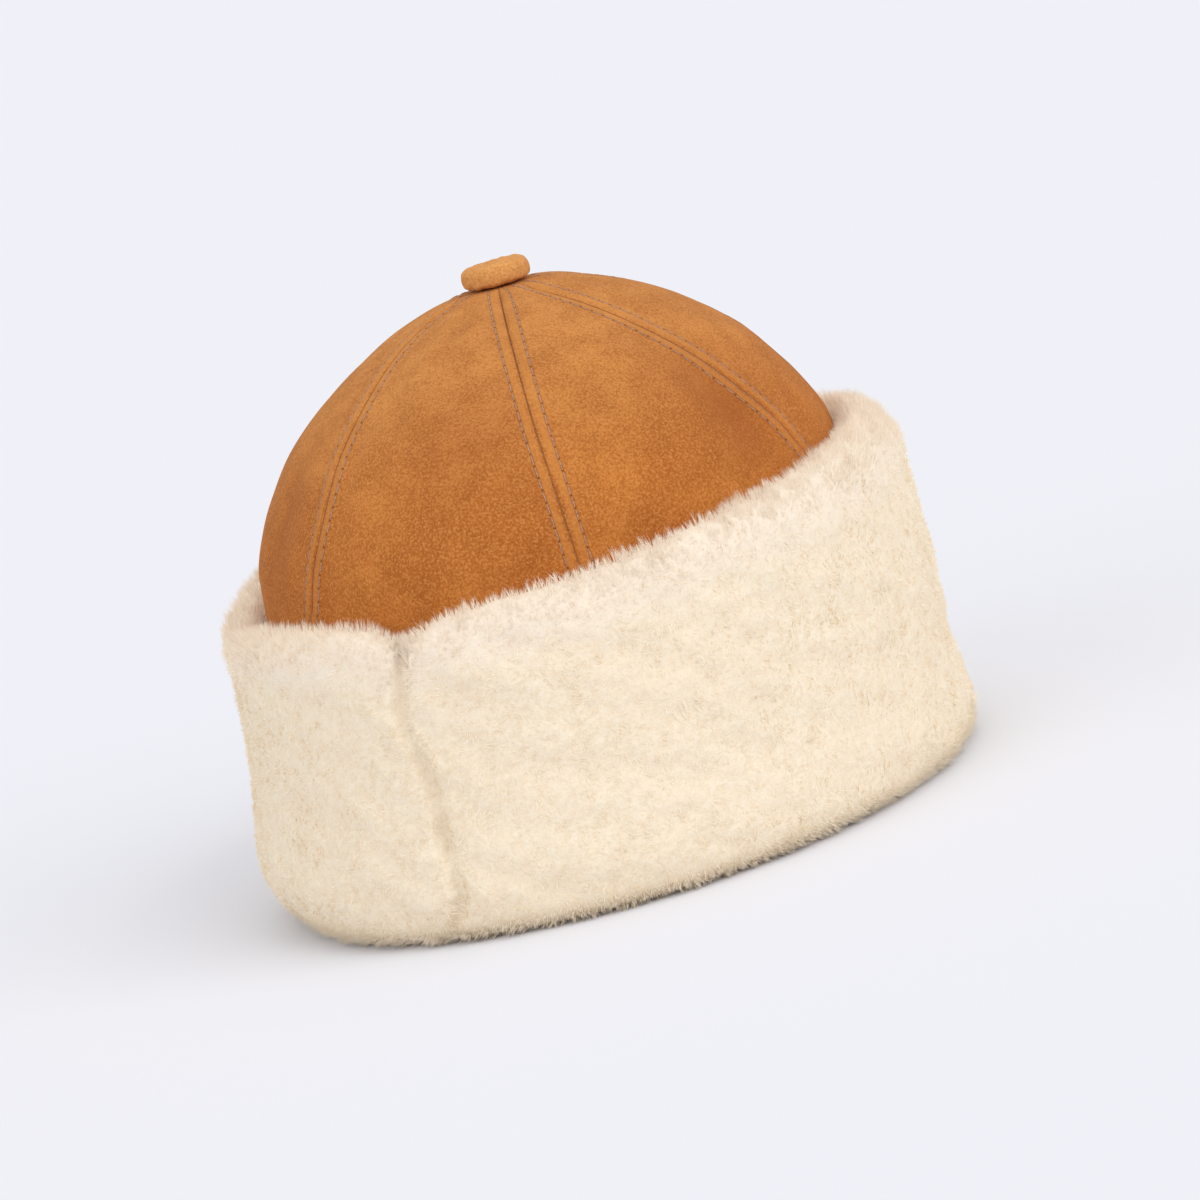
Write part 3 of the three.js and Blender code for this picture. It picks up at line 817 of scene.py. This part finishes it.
def button(finish):
    """The covered button: its outline turned round an upright line, a little uneven as a hand-covered disc is,
    with small gathers under its rim."""
    sized = [(r * BUTTON_RADIUS, up * BUTTON_THICK) for r, up in BUTTON_OUTLINE]
    outline = curve_through(sized, BUTTON_POINTS)
    radius = np.concatenate([np.linspace(0, outline[0, 0], 6)[:-1], outline[:, 0]])
    up = np.concatenate([np.zeros(5), outline[:, 1]])
    radius[0] = radius[-1] = 1e-4
    angle = np.arange(BUTTON_COLUMNS) * 2 * np.pi / BUTTON_COLUMNS
    low = smoothstep(np.linspace(0, 1, len(radius)), 0.55, 0.15)[:, None]
    gathers = 1 + 0.012 * low * np.sin(angle * GATHERS + 2 * np.sin(3 * angle))[None, :]
    uneven = 1 + 0.012 * np.sin(2 * angle + 1)[None, :] + 0.008 * np.sin(3 * angle)[None, :]
    r = radius[:, None] * gathers * uneven
    z = up[:, None] * (1 + 0.03 * np.sin(angle + 0.7)[None, :]) + LEAN_AT[-1] + BUTTON_GAP
    x = LEAN_X[-1] + r * np.sin(angle)
    y = LEAN_Y[-1] - r * np.cos(angle)
    points = np.stack([x, y, z], -1)
    lumps = Softly(41, 26, 3.0)(np.degrees(angle)[None, :] + 0 * z, r * 1.3 + 2 * z)
    lumps = lumps * smoothstep(r, 1.0, 5.0)
    points = points + BUTTON_LUMPS * lumps[..., None] * np.array([0.3, 0.3, 1.0])
    faces = grid_faces(len(radius), BUTTON_COLUMNS, closed_columns=True)
    points = points.reshape(-1, 3) + MIDDLE
    make_piece("suede_button", points, faces, [finish], replaces=["crown_button"])


# The cuff


def clump(turn, z):
    """How far the fleece stands out in clumps: waves round the hat times waves up it, each bending the other."""
    angle = np.radians(turn)
    total = 0
    for about, up, bend, sway, sways, share in CLUMP_WAVES:
        total = total + share * np.sin(about * angle + bend * z) * np.sin(up * z + sway * np.sin(sways * angle))
    return total


tuft_small = Softly(21, 360, 2.1)
tuft_large = Softly(22, 150, 5.0)


def cuff_surface(column, out, row_z):
    """A point of the cuff, and its turn: the section's point, stretched to the edge's height, stood out by
    fullness and clumps and drawn in at the join, carried out from the head opening's ellipse square to it."""
    near_join = 1 - smoothstep(np.abs(wrapped(column)), LAST_JOIN_COLUMN, JOIN_BENDS_WITHIN)
    # On the resting band the share grows evenly, so that the band draws in without a fold.
    start, end = COMES_IN_ON_BAND
    on_band = np.clip((out - start) / (end - start), 0, 1)
    outer = np.where(row_z < RESTING_BELOW, on_band, smoothstep(out, *COMES_IN_OUTWARDS))
    face = outer * smoothstep(row_z, *COMES_IN_UPWARDS)
    at, path = np.array(JOIN_PATH, float).T
    turn = column + np.interp(row_z, at, path) * near_join * face
    stretch = (cuff_edge(turn) - STRETCH_FROM) / (NOMINAL_EDGE - STRETCH_FROM)
    z = np.where(row_z > STRETCH_FROM, STRETCH_FROM + (row_z - STRETCH_FROM) * stretch, row_z)
    valley = np.exp(-((wrapped(column) / JOIN_HALF_TURN) ** 2))
    valley = valley * (JOIN_DEPTH + JOIN_DEEPER_AT_TOP * smoothstep(row_z, *JOIN_DEEPER_BETWEEN))
    stands = out + face * (CLUMP_DEPTH * clump(turn, z) - valley)
    for spot in FULLNESS:
        stands = stands + outer * spot[4] * near(spot, turn, z)
    angle = np.radians(turn)
    away = unit(np.stack([HALF_LENGTH * np.sin(angle), -HALF_WIDTH * np.cos(angle)], -1))
    x = HALF_WIDTH * np.sin(angle) + stands * away[..., 0]
    y = -HALF_LENGTH * np.cos(angle) + stands * away[..., 1]
    return leant(x, y, z), turn


def grid_normals(points, closed=True):
    """Square to a grid of points: its slope along columns crossed with its slope along rows."""
    if closed:
        about = np.roll(points, -1, axis=0) - np.roll(points, 1, axis=0)
    else:
        about = np.gradient(points, axis=0)
    return unit(np.cross(about, np.gradient(points, axis=1)))


def cuff_columns():
    """Turns of the cuff's columns, closer together at the join."""
    within = CLOSE_COLUMNS_WITHIN
    close = np.linspace(-within, within, JOIN_COLUMNS + 2)[1:-1]
    return np.concatenate([close, np.linspace(within, 360 - within, CUFF_COLUMNS - JOIN_COLUMNS)])


def cuff_skin(finish):
    """The wool's ground: the cuff's section carried round, sunk a little under the pile, with small tufts, and
    smooth in the channel. Nothing of it goes below the floor."""
    section = np.vstack([curve_through(CUFF_ROUND, ROUND_POINTS), CUFF_CHANNEL])
    column = cuff_columns()
    grid, turn = cuff_surface(column[:, None], section[None, :, 0], section[None, :, 1])
    z = grid[..., 2]
    outside = (section[:, 0] > 1.0) & (np.arange(len(section)) < ROUND_POINTS)
    woolly = smoothstep(section[:, 1] * outside, 4, 12)[None, :]
    tufts = SMALL_TUFTS_HEIGHT * tuft_small(turn, z) + LARGE_TUFTS_HEIGHT * tuft_large(turn, z)
    grid = grid + grid_normals(grid) * (woolly * (tufts - PILE_SINK))[..., None]
    grid[..., 2] = np.maximum(grid[..., 2], 0.0)
    faces = grid_faces(len(column), len(section), closed_rows=True, closed_columns=True)
    points = grid.reshape(-1, 3) + MIDDLE
    piece = make_piece("fleece_cuff", points, faces, [finish], replaces=["cuff"])
    # Painted light: the ground is paler by the upper edge.
    give_numbers(piece, "painted_edge_light", np.broadcast_to(smoothstep(section[:, 1], *EDGE_LIGHT_ZONE), z.shape))


def scattered(grid, weight, count, random):
    """Places on a grid, as cell and position in it, so that each area gets as many as its weight says."""
    a, b = grid[1:, :-1] - grid[:-1, :-1], grid[:-1, 1:] - grid[:-1, :-1]
    area = np.linalg.norm(np.cross(a, b), axis=-1) * weight[:-1, :-1]
    total = np.cumsum(area.ravel())
    cell = np.searchsorted(total, random.uniform(0, total[-1], count))
    i, j = np.unravel_index(np.minimum(cell, area.size - 1), area.shape)
    return i, j, random.uniform(0, 1, count), random.uniform(0, 1, count)


def between_cells(grid, i, j, u, v):
    """Values of a grid between its points."""
    u, v = (u[:, None], v[:, None]) if grid.ndim == 3 else (u, v)
    low = grid[i, j] * (1 - u) + grid[i + 1, j] * u
    high = grid[i, j + 1] * (1 - u) + grid[i + 1, j + 1] * u
    return low * (1 - v) + high * v


def tufted(turn, along, size, seed):
    """Which tuft each strand belongs to: the nearest of points that are strewn one to a cell over turns and
    section lengths. Returns the way to its middle, round and up, in millimetres, and four numbers in -1..1 that
    the tuft's strands share."""
    cells = round(WAY_ROUND / size)
    step = WAY_ROUND / cells
    random = np.random.default_rng(seed)
    strewn = random.uniform(0.1, 0.9, (cells, TUFT_ROWS, 2))
    shared = random.uniform(-1, 1, (cells, TUFT_ROWS, 4))
    u = turn % 360 / 360 * cells
    v = along / step + 5
    i, j = np.floor(u).astype(int), np.floor(v).astype(int)
    nearest = np.full(len(u), np.inf)
    way = np.zeros((len(u), 2))
    gift = np.zeros((len(u), 4))
    for di in (-1, 0, 1):
        for dj in (-1, 0, 1):
            ci, cj = (i + di) % cells, (j + dj) % TUFT_ROWS
            to = np.stack([i + di + strewn[ci, cj, 0] - u, j + dj + strewn[ci, cj, 1] - v], -1) * step
            far = (to**2).sum(1)
            nearer = far < nearest
            nearest = np.where(nearer, far, nearest)
            way = np.where(nearer[:, None], to, way)
            gift = np.where(nearer[:, None], shared[ci, cj], gift)
    return way, gift


def strands(name, roots, facing, lean, length, width, numbers, finish):
    """Strands as slim three-sided spikes: three points in a ring about the root, square to the lean, and the
    tip. One side of each looks the way it is told to face. Each strand has its numbers for the finish."""
    n = len(roots)
    side = unit(facing - lean * (facing * lean).sum(1)[:, None])
    other = np.cross(lean, side)
    angle = np.radians([180, 300, 420])
    ring = np.cos(angle)[None, :, None] * side[:, None] + np.sin(angle)[None, :, None] * other[:, None]
    foot = roots[:, None] + ring * (0.5 * width)[:, None, None]
    tip = roots + lean * length[:, None]
    points = np.concatenate([foot, tip[:, None]], axis=1)
    points[..., 2] = np.maximum(points[..., 2], PILE_CLEAR_OF_FLOOR)
    around = np.array([[0, 1, 3], [1, 2, 3], [2, 0, 3]])
    faces = (around[None] + 4 * np.arange(n)[:, None, None]).reshape(-1, 3)
    piece = make_piece(name, points.reshape(-1, 3) + MIDDLE, faces, [finish], smooth=False)
    give_numbers(piece, "tip", np.tile([0, 0, 0, 1], n))
    for key, values in numbers.items():
        give_numbers(piece, key, np.repeat(values, 4))
    # The map that a bake may use: each strand has a cell, and its three sides lie in it as a fan.
    cells = math.ceil(math.sqrt(n))
    corner = np.stack([np.arange(n) % cells, np.arange(n) // cells], -1)
    fan = np.array([[[x, 0.06], [x + 0.3, 0.06], [0.5, 0.94]] for x in (0.05, 0.35, 0.65)]).reshape(9, 2)
    layer = piece.data.uv_layers.new(name="OFBake", do_init=False)
    layer.uv.foreach_set("vector", ((corner[:, None] + fan[None]) / cells).astype(np.float32).ravel())


def pile_weight(column, out, row_z):
    """How thickly the strands stand: hardly at all under the hat, thinly on the lip, and more thickly towards the
    upper edge, at the foot and hem of the outer face, and along the join."""
    resting = (row_z < 1.5) & (out > -4) & (out < 14)
    on_face = THICK_ON_FACE + MORE_AT_TOP * smoothstep(row_z, 92, 104)
    weight = np.where(resting, THICK_UNDER, np.where(out < -1, THICK_ON_LIP, on_face))
    foot = MORE_AT_FOOT * (1 - smoothstep(row_z, 4, 16)) + MORE_AT_HEM * (1 - smoothstep(row_z, *HEM_ZONE))
    weight = weight + foot * (out > HEM_OUT)
    return weight * (1 + MORE_AT_JOIN * np.exp(-((wrapped(column) / 3) ** 2)))[:, None]


def lie_of(slow, small, large, to_small, to_large):
    """One side of a strand's lie: a slow field's, its small and its large tuft's own, and towards the middles
    of both."""
    return 0.6 * slow + 0.35 * small + 0.3 * large + 0.12 * to_small + 0.03 * to_large


def by_tuft(amounts, small, large):
    """An amount for each strand: a base, and what its small and its large tuft's own number add."""
    base, of_small, of_large = amounts
    return base + of_small * small + of_large * large


def cuff_pile(finish, pieces, each):
    """The pile: strands rooted all over the cuff's rounded surface. They lie over with slow random fields and
    with their tufts, and gather towards their tufts' middles. Along the upper edge they stand up and are longer,
    and at the hem they are longer and stand out over the floor."""
    random = np.random.default_rng(5)
    rounded = curve_through(CUFF_ROUND, ROUND_POINTS)
    section_length = np.concatenate([[0], np.cumsum(np.linalg.norm(np.diff(rounded, axis=0), axis=1))])
    column = cuff_columns()
    column = np.append(column, column[0] + 360)
    grid, turn = cuff_surface(column[:, None], rounded[None, :, 0], rounded[None, :, 1])
    normal = grid_normals(grid, closed=False)
    up = unit(np.gradient(grid, axis=1))
    along_section = (rounded[:, 0], rounded[:, 1], section_length)
    out, row_z, way_up = (np.broadcast_to(values[None, :], turn.shape) for values in along_section)
    weight = pile_weight(column, out, row_z)
    lean_up = Softly(31, 60, 12.0)
    lean_about = Softly(32, 70, 10.0)
    for k in range(pieces):
        i, j, u, v = scattered(grid, weight, each, random)
        root, n, upward, at, o, rz, along = (
            between_cells(values, i, j, u, v) for values in (grid, normal, up, turn, out, row_z, way_up)
        )
        n, upward = unit(n), unit(upward)
        about = unit(np.cross(upward, n))
        height = root[:, 2]
        top = smoothstep(rz, *TOP_ZONE)
        low = 1 - smoothstep(rz, *LOW_ZONE)
        hem = (1 - smoothstep(rz, *HEM_ZONE)) * (o > HEM_OUT)
        way, small = tufted(at, along, TUFT, 77)
        large_way, large = tufted(at, along, LARGE_TUFT, 78)

        slow_up, slow_about = lean_up(at, height), lean_about(at, height)
        lie_up = LYING_UPWARDS + lie_of(slow_up, small[:, 0], large[:, 0], way[:, 1], large_way[:, 1])
        lie_about = lie_of(slow_about, small[:, 1], large[:, 1], way[:, 0], large_way[:, 0])
        lie = unit(np.stack([lie_up, lie_about], -1) + 0.35 * random.normal(size=(each, 2)))
        over = by_tuft(LYING_OVER, small[:, 2], large[:, 2]) + 0.4 * random.normal(size=each)
        over = over * (1 - np.maximum(0.75 * top, 0.6 * low))
        sideways = over * lie[:, 1] + top * (0.38 * way[:, 0] + 0.12 * large_way[:, 0])
        lean = n + upward * (over * lie[:, 0])[:, None] + about * sideways[:, None]
        lean = lean + np.array([0, 0, UPRIGHT_AT_TOP]) * (top * (1 - low))[:, None]
        level = unit(n * np.array([1.0, 1.0, 0.0]))
        lean = lean + level * (OUTWARDS_LOW * (low + hem))[:, None]
        lean = lean + about * (0.4 * hem * way[:, 0])[:, None]
        lean = unit(lean)

        length = by_tuft(PILE_LENGTH, small[:, 2], large[:, 2]) * random.uniform(0.6, 1.15, each)
        length = length + top * by_tuft(LONGER_AT_TOP, small[:, 3], large[:, 3])
        length = length + 0.5 * low + hem * by_tuft(LONGER_AT_HEM, small[:, 3], large[:, 3])
        width = (PILE_WIDTH - 0.1 * top) * random.uniform(0.7, 1.3, each)
        tone = by_tuft(PILE_TONE, small[:, 3], large[:, 3]) + 0.15 * random.normal(size=each)
        # Painted light: the wisps are paler by the upper edge and on the hem.
        pale = np.maximum(smoothstep(rz, *EDGE_LIGHT_ZONE), 0.8 * hem)
        start = root - n * (PILE_SINK + ROOT_DEPTH)
        facing = unit(n + np.array([0, 0, 2.4]) * (low * (o > 8))[:, None])
        numbers = {"tone": np.clip(tone, 0, 1), "painted_edge_light": pale}
        strands(f"fleece_pile_{k + 1}", start, facing, lean, length, width, numbers, finish)


# The hat

crown_suede = suede("suede_crown", CROWN_TONES, CROWN_DARK, CROWN_LIGHT)
# Painted light: the button's suede is a lighter copy of the crown's.
lit_button_suede = suede("suede_covering_lit", BUTTON_LIT_TONES, BUTTON_LIT_DARK, BUTTON_LIT_LIGHT, bands=False)
wool_ground = fleece_skin()
pile = pile_finish()

for k in range(len(SEAMS)):
    crown_panel(k + 1, seam_at(k), seam_at(k + 1), crown_suede, wool_ground)
stitches(thread_finish())
button(lit_button_suede)
cuff_skin(wool_ground)
cuff_pile(pile, PILE_PIECES, STRANDS_TO_A_PIECE)

# The floor, the light and the camera

# Each light's name, turn, height over the floor, strength and width, with angles in degrees.
WINDOWS = [
    ("right_window", 75, 35, 0.95, 50),
    ("left_window", -25, 25, 0.42, 50),
    ("roof_window", 60, 75, 0.4, 60),
]
WINDOW_COLOUR = (1.0, 0.985, 0.96)
DAYLIGHT = 0.72
FLOOR_COLOUR = (0.813, 0.824, 0.885, 1.0)
# The camera's turn, height over the floor and roll in degrees, the point that it looks at in millimetres, its
# distance in metres, and its lens and the width of its sensor.
CAMERA_TURN = 28
CAMERA_RISE = 10
CAMERA_ROLL = 15
CAMERA_AIM = (10.057, 2.212, 76.302)
CAMERA_DISTANCE = 1.7
CAMERA_LENS = 151.906
CAMERA_SENSOR = 36


def pale_floor():
    """A wide flat floor, plain and pale."""
    f = Finish("floor_paper", {"Base Color": FLOOR_COLOUR, "Roughness": 1.0, "Specular IOR Level": 0.0})
    mesh = bpy.data.meshes.new("floor")
    corners = [(-40, -40, 0), (40, -40, 0), (40, 40, 0), (-40, 40, 0)]
    mesh.from_pydata(corners, [], [(0, 1, 2, 3)])
    mesh.materials.append(f.material)
    floor = bpy.data.objects.new("floor", mesh)
    bpy.context.scene.collection.objects.link(floor)


def way_to(turn, rise):
    """The direction from the hat towards a place round it, by its turn and its height in degrees."""
    a, e = math.radians(turn), math.radians(rise)
    return Vector((math.sin(a) * math.cos(e), -math.cos(a) * math.cos(e), math.sin(e)))


def soft_sun(name, turn, rise, strength, width):
    """A wide, soft light from far off."""
    lamp = bpy.data.lights.new(name, "SUN")
    lamp.energy = strength
    lamp.angle = math.radians(width)
    lamp.color = WINDOW_COLOUR
    placed = bpy.data.objects.new(name, lamp)
    placed.rotation_euler = way_to(turn, rise).to_track_quat("Z", "Y").to_euler()
    bpy.context.scene.collection.objects.link(placed)


def camera():
    """A long lens at the photograph's angle, with the hat leaning to the left in the frame."""
    azimuth, roll = math.radians(CAMERA_TURN), math.radians(CAMERA_ROLL)
    back = way_to(CAMERA_TURN, CAMERA_RISE)
    right = Vector((math.cos(azimuth), math.sin(azimuth), 0))
    up = back.cross(right)
    right, up = (
        right * math.cos(roll) - up * math.sin(roll),
        right * math.sin(roll) + up * math.cos(roll),
    )
    lens = bpy.data.cameras.new("camera")
    lens.lens = CAMERA_LENS
    lens.sensor_width = CAMERA_SENSOR
    lens.clip_end = 200
    seen = bpy.data.objects.new("camera", lens)
    turned = Matrix((right, up, back)).transposed().to_4x4()
    seen.matrix_world = Matrix.Translation(Vector(CAMERA_AIM) * MM + back * CAMERA_DISTANCE) @ turned
    bpy.context.scene.collection.objects.link(seen)
    bpy.context.scene.camera = seen


def daylight():
    """Even white light from all round."""
    world = bpy.data.worlds.new("studio")
    bpy.context.scene.world = world
    world.use_nodes = True
    sky = world.node_tree.nodes["Background"]
    sky.inputs["Color"].default_value = (1.0, 1.0, 1.0, 1)
    sky.inputs["Strength"].default_value = DAYLIGHT


pale_floor()
for window in WINDOWS:
    soft_sun(*window)
camera()
daylight()
bpy.context.scene.view_settings.view_transform = "Standard"
